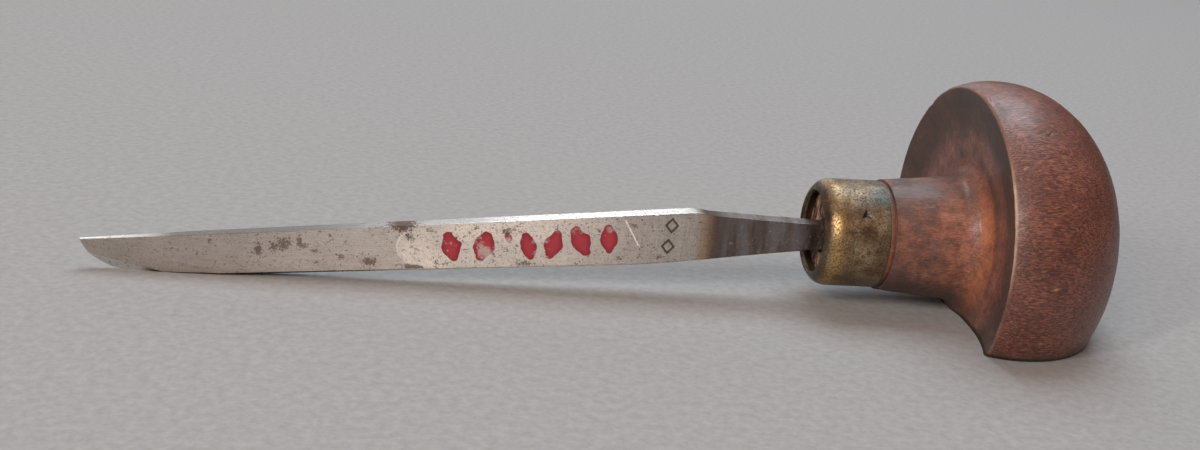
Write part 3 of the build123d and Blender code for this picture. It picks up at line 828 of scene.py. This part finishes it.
    # relief: the paint stands on the steel, the marks and the rust are let into it
    out = 0.035 * ease(0.0, 0.12, paint) - 0.045 * ease(0.22, 0.05, lozenge) - 0.03 * ease(0.4, 0.9, rust)
    out -= 0.012 * ease(0.4, 0.9, stain) * (cloud(points, 0.5, 97, 2) + 1)
    forged = ease(-39, -35, placeX)
    out -= (0.03 * forged + 0.004) * (cloud(points, (3.0, 1.2, 1.2), 99, 3) + 1)
    inMouth = placeX <= mouthX + 1.0
    points[:, 1] += np.sign(points[:, 1]) * np.where((place == 1) & inMouth, out, 0)
    nick = 0.05 * ease(0.5, 1.2, cloud(points, (1.1, 3, 3), 103, 2)) + 0.035 * forged * (cloud(points, 1.1,
                                                                                               105, 2) + 1)
    nearEdge = ease(half.max() * 0.2, half.max() * 0.9, np.abs(points[:, 1])) * 0.8 + 0.2
    points[:, 2] -= np.where(topSide & inMouth & (placeX > tipX + 2), nick * nearEdge, 0)

    rows = len(x)
    number = np.arange(rows * columns).reshape(rows, columns)
    after = np.roll(number, -1, axis=1)
    quads = np.stack([number[:-1], number[1:], after[1:], after[:-1]], -1).reshape(-1, 4)[:, ::-1]
    faceLists = [quads, number[:1], number[-1:, ::-1]]

    values = {
        "paint": paint, "varnish": varnish, "slant": slant, "crescent": crescent, "lozenge": lozenge,
        "stain": stain, "rust": rust,
        "topWear": np.interp(placeX, *np.transpose(b["topWear"])), "topFace": topSide.astype(float),
        # groundEnd: the ground facet under the nose, bright ground steel drawn pale blue-white as a painted
        # reflection of the card
        "groundEnd": ((place == 2) & (placeX < tipX + 8.5)).astype(float),
        "tangDark": ease(-39.6, -36.6, placeX),
        # underside: the belly from near the tip to its middle, drawn near black as painted shade
        "underside": (place == 2) * ease(-107.5, -105, placeX) * ease(-72, -86, placeX),
    }
    return makePiece("graverBlade", points, faceLists, values, "graver_blade", material, 32)


def groundToolSteel():
    # carbon tool steel, forged, ground along its length and left to tarnish: a grey-brown skin
    # with fine scratches and pits, heat colours by the tang, and an old patch of varnish with
    # dabs of red lacquer; glare on the side and the varnish, a glint on the scores, a reflection on
    # the bevel and shade on the belly are painted in
    material, add = newMaterial("groundToolSteel")
    told = {name: add("Attribute", out="Fac", attribute_name=name) for name in
            ("topWear", "topFace", "groundEnd", "varnish", "slant", "crescent", "stain", "rust", "lozenge",
             "underside", "tangDark", "paint")}
    place = add("TexCoord", out="Object")
    # grinding lines are some 0.02 mm apart, drawn at 0.12 mm so that they show
    lineSpace = add("Mapping", {"Vector": place, "Scale": (380.0, 3000.0, 8500.0)})
    lines = add("TexNoise", {"Vector": lineSpace, "Scale": 1.0, "Detail": 3.0, "Roughness": 0.75})
    crossSpace = add("Mapping", {"Vector": place, "Scale": (7000.0, 400.0, 420.0),
                                           "Rotation": (0.0, 0.12, 0.0)})
    crossLines = add("TexNoise", {"Vector": crossSpace, "Scale": 1.0, "Detail": 2.0, "Roughness": 0.6})
    skin = add("TexNoise", {"Vector": place, "Scale": 300.0, "Detail": 8.0, "Roughness": 0.70})
    grain = add("TexNoise", {"Vector": place, "Scale": 3200.0, "Detail": 4.0, "Roughness": 0.8})
    split = add("SeparateXYZ", {"Vector": place}, out="X")
    # the steel is near white along its middle length, a painted glare on the side
    along = add("MapRange", {"Value": split, "From Min": -0.114, "From Max": -0.038})
    steelAndGlare = add("ValToRGB", {"Fac": along}, stops=blade["steelAndGlareColours"])
    shank = add("MapRange", {"Value": split, "From Min": -0.052, "From Max": -0.046})
    crossSwing = add("MapRange", {"Value": crossLines, "From Min": 0.3, "From Max": 0.7,
                                            "To Min": -0.16, "To Max": 0.10})
    tone = add("Math", {0: crossSwing, 1: shank, 2: 1.0}, operation="MULTIPLY_ADD")
    for noise, low, high in ((lines, 0.84, 1.10), (grain, 0.80, 1.14), (skin, 0.88, 1.06)):
        swing = add("MapRange", {"Value": noise, "From Min": 0.3, "From Max": 0.7,
                                           "To Min": low, "To Max": high})
        tone = add("Math", {0: tone, 1: swing}, operation="MULTIPLY")
    lined = add("VectorMath", {0: steelAndGlare, 3: tone}, operation="SCALE")

    # the top's worn and tarnished lengths, and the varnish, paler and creamier than the steel, its near white
    # a painted glare
    topTone = add("ValToRGB", {"Fac": told["topWear"]}, stops=blade["topColours"])
    topLined = add("VectorMath", {0: topTone, 3: tone}, operation="SCALE")
    varnishAndGlareTone = add("ValToRGB", {"Fac": grain}, stops=blade["varnishAndGlareColours"])
    # pits are some 0.1 mm across, drawn at 0.2 mm and up
    pitSpace = add("Mapping", {"Vector": place, "Scale": (1700.0, 2600.0, 2600.0),
                                         "Rotation": (0.0, 0.5, 0.0)})
    pitNoise = add("TexNoise", {"Vector": pitSpace, "Scale": 1.0, "Detail": 5.0, "Roughness": 0.80,
                                          "Distortion": 0.6})
    pitEdge = add("MapRange", {"Value": told["varnish"], "To Min": 0.612, "To Max": 0.552})
    pitRise = add("Math", {0: pitNoise, 1: pitEdge}, operation="SUBTRACT")
    pits = add("MapRange", {"Value": pitRise, "From Min": 0.0, "From Max": 0.04})
    pitShare = add("Math", {0: pits, 1: 0.82}, operation="MULTIPLY")
    # the slanting scratch and the varnish's rounded left edge are drawn white and not metal, as a painted
    # glint
    slantMask = add("MapRange", {"Value": told["slant"], "From Min": 0.0, "From Max": 0.05})
    crescentGlintMask = add("MapRange", {"Value": told["crescent"], "From Min": 0.0, "From Max": 0.2,
                                              "To Max": 0.7})
    scoredGlint = add("Math", {0: slantMask, 1: crescentGlintMask}, operation="MAXIMUM")

    # stains and rust with ragged edges, and the punched marks
    fineSwing = add("MapRange", {"Value": grain, "From Min": 0.25, "From Max": 0.75,
                                           "To Min": -0.85, "To Max": 0.85})
    broadSwing = add("MapRange", {"Value": pitNoise, "From Min": 0.25, "From Max": 0.75,
                                            "To Min": -0.45, "To Max": 0.45})
    ragged = add("Math", {0: fineSwing, 1: broadSwing}, operation="ADD")
    stainRise = add("Math", {0: ragged, 1: told["stain"]}, operation="ADD")
    stainMask = add("MapRange", {"Value": stainRise, "From Min": 0.36, "From Max": 0.58,
                                           "To Max": 0.85})
    rustRise = add("Math", {0: ragged, 1: told["rust"]}, operation="ADD")
    rustMask = add("MapRange", {"Value": rustRise, "From Min": 0.34, "From Max": 0.52, "To Max": 0.94})
    markMask = add("MapRange", {"Value": told["lozenge"], "From Min": 0.17, "From Max": 0.09,
                                          "To Max": 0.85})
    # the last layer, on the belly, is painted shade
    colour = lined
    for mask, cover in (
            (told["topFace"], topLined), (told["groundEnd"], blade["bevelAndReflectionColour"]),
            (told["varnish"], varnishAndGlareTone), (pitShare, blade["pitColour"]), (scoredGlint, blade["scoreGlintColour"]),
            (stainMask, blade["stainColour"]), (rustMask, blade["rustColour"]),
            (markMask, blade["markColour"]), (told["underside"], blade["bellyShadeColour"])):
        colour = add("Mix", {0: mask, 6: colour, 7: cover}, out=2, data_type="RGBA")

    # heat colours from straw to blue, then the scaled, speckled tang
    heatPlace = add("MapRange", {"Value": split, "From Min": -0.0415, "From Max": -0.0345})
    heat = add("ValToRGB", {"Fac": heatPlace}, stops=blade["heatColours"])
    heated = add("Mix", {0: 1.0, 6: colour, 7: heat}, out=2, data_type="RGBA", blend_type="MULTIPLY")
    bandSpace = add("Mapping", {"Vector": place, "Scale": (420.0, 60.0, 90.0)})
    bands = add("TexNoise", {"Vector": bandSpace, "Scale": 1.0, "Detail": 4.0, "Roughness": 0.6})
    scale = add("ValToRGB", {"Fac": bands}, stops=blade["tangColours"])
    glint = add("MapRange", {"Value": pitNoise, "From Min": 0.39, "From Max": 0.36, "To Max": 0.7})
    scaled = add("Mix", {0: glint, 6: scale, 7: blade["glintColour"]}, out=2, data_type="RGBA")
    pittedScale = add("Mix", {0: pits, 6: scaled, 7: blade["tangPitColour"]}, out=2, data_type="RGBA")
    scaleShare = add("Math", {0: told["tangDark"], 1: 0.8}, operation="MULTIPLY")
    tangTone = add("Mix", {0: scaleShare, 6: heated, 7: pittedScale}, out=2, data_type="RGBA")

    # red lacquer, worn through in places
    paintMask = add("MapRange", {"Value": told["paint"], "From Min": 0.0, "From Max": 0.06})
    flakes = add("MapRange", {"Value": skin, "From Min": 0.40, "From Max": 0.47, "To Min": 0.35})
    painted = add("Math", {0: paintMask, 1: flakes}, operation="MULTIPLY")
    red = add("ValToRGB", {"Fac": told["paint"]}, stops=blade["paintColours"])
    colour = add("Mix", {0: painted, 6: tangTone, 7: red}, out=2, data_type="RGBA")

    # bare steel is metal; varnish, the scores with their painted glint, stains, rust and lacquer are not
    covered = add("Math", {0: told["varnish"], 1: 0.85}, operation="MULTIPLY")
    spoiled = add("Math", {0: stainMask, 1: rustMask}, operation="MAXIMUM")
    nonMetal = covered
    for mask in (scoredGlint, spoiled, painted):
        nonMetal = add("Math", {0: nonMetal, 1: mask}, operation="MAXIMUM")
    metal = add("Math", {0: 0.88, 1: nonMetal}, operation="SUBTRACT", use_clamp=True)
    roughness = add("MapRange", {"Value": skin, "From Min": 0.3, "From Max": 0.7,
                                           "To Min": 0.22, "To Max": 0.36})
    topDull = add("MapRange", {"Value": told["topWear"], "To Min": 0.50, "To Max": 0.22})
    for mask, dull in ((told["topFace"], topDull), (told["groundEnd"], 0.16), (told["varnish"], 0.34),
                       (spoiled, 0.8), (painted, 0.30)):
        roughness = add("Mix", {0: mask, 2: roughness, 3: dull})
    relief = add("Math", {0: lines, 1: grain}, operation="ADD")
    bump = add("Bump", {"Height": relief, "Strength": 0.22, "Distance": 0.00004})
    finishMaterial(add, {"Base Color": colour, "Metallic": metal, "Roughness": roughness, "Normal": bump})
    return material


# Setting: a sheet of grey card, soft lights and the camera

setting = {
    "floorHalf": 2.0, "cardTone": ("#949595", "#a5a6a6"),
    # the room's light by height above the horizon: (sine of the elevation, colour), and its strength
    "room": [(0.0, "#2c2220"), (0.30, "#3c302c"), (0.60, "#a08078"), (1.0, "#c8a398")], "roomStrength": 0.72,
    # name: direction from the object, distance, width, height, strength in watts, colour
    "lights": {
        "overhead": ((0.12, 0.41, 0.90), 1.05, 0.70, 0.70, 8.8, "#e6f6ff"),
        "frontFill": ((-0.42, -0.72, 0.52), 1.2, 0.50, 0.42, 6.7, "#fff3ec"),
        "window": ((-0.73, -0.50, 0.46), 1.1, 0.10, 0.32, 3.7, "#fff0e2"),
        "backCard": ((-0.12, 0.93, 0.31), 1.3, 1.20, 0.36, 2.1, "#ffffff"),
    },
    "lightsAim": (-0.03, 0, 0.01),
    "cameraPlace": (-75.275, -149.148, 56.306),
    "cameraRight": (0.98881, -0.11803, 0.09126),
    "cameraDown": (0.05022, -0.31263, -0.94855),
    "cameraForward": (0.14048, 0.94251, -0.30320),
    "lens": 38.98, "sensor": 36.0,
}


def greyCard():
    # uncoated grey card stock: matt, with a faint mottle of its fibres, drawn at 1 to 3 mm
    material, add = newMaterial("uncoatedGreyCard")
    place = add("TexCoord", out="Object")
    fibre = add("TexNoise", {"Vector": place, "Scale": 900.0, "Detail": 4.0, "Roughness": 0.7})
    tone = add("ValToRGB", {"Fac": fibre}, stops=[(0.3, setting["cardTone"][0]),
                                                  (0.7, setting["cardTone"][1])])
    bump = add("Bump", {"Height": fibre, "Strength": 0.15, "Distance": 0.0001})
    finishMaterial(add, {"Base Color": tone, "Roughness": 0.95, "Normal": bump, "Specular IOR Level": 0.1})
    return material


def buildSetting():
    half = setting["floorHalf"]
    mesh = bpy.data.meshes.new("cardFloor")
    mesh.from_pydata([(-half, -half, 0), (half, -half, 0), (half, half, 0), (-half, half, 0)], [],
                     [(0, 1, 2, 3)])
    mesh.materials.append(greyCard())
    floor = bpy.data.objects.new("cardFloor", mesh)
    scene.collection.objects.link(floor)

    world = bpy.data.worlds.new("softRoom")
    world.use_nodes = True
    scene.world = world
    world.node_tree.nodes.clear()
    add = partial(addNode, world.node_tree)
    sky = add("TexCoord", out="Generated")
    height = add("SeparateXYZ", {"Vector": sky}, out="Z")
    glow = add("ValToRGB", {"Fac": height}, stops=setting["room"])
    background = add("Background", {"Color": glow, "Strength": setting["roomStrength"]})
    add("OutputWorld", {"Surface": background})

    centre = Vector(setting["lightsAim"])
    for name, (direction, distance, wide, tall, power, colour) in setting["lights"].items():
        lamp = bpy.data.lights.new(name, "AREA")
        lamp.shape, lamp.size, lamp.size_y, lamp.energy = "RECTANGLE", wide, tall, power
        lamp.color = linearColour(colour)[:3]
        holder = bpy.data.objects.new(name, lamp)
        scene.collection.objects.link(holder)
        toward = Vector(direction).normalized()
        holder.location = centre + toward * distance
        holder.rotation_mode = "QUATERNION"
        holder.rotation_quaternion = toward.to_track_quat("Z", "Y")

    lens = bpy.data.cameras.new("viewpoint")
    lens.lens, lens.sensor_width = setting["lens"], setting["sensor"]
    lens.clip_start, lens.clip_end = 0.01, 20
    camera = bpy.data.objects.new("viewpoint", lens)
    scene.collection.objects.link(camera)
    right, down, ahead = (Vector(setting[k]) for k in ("cameraRight", "cameraDown", "cameraForward"))
    turned = Matrix((right, -down, -ahead)).transposed().to_4x4()
    camera.matrix_world = Matrix.Translation(Vector(setting["cameraPlace"]) * mm) @ turned
    scene.camera = camera
    scene.view_settings.view_transform = "Standard"


buildHandle(stainedBeech())
print("handle built")
buildFerrule(agedBrass())
print("ferrule built")
buildBlade(groundToolSteel())
print("blade built")
buildSetting()
print("setting built")
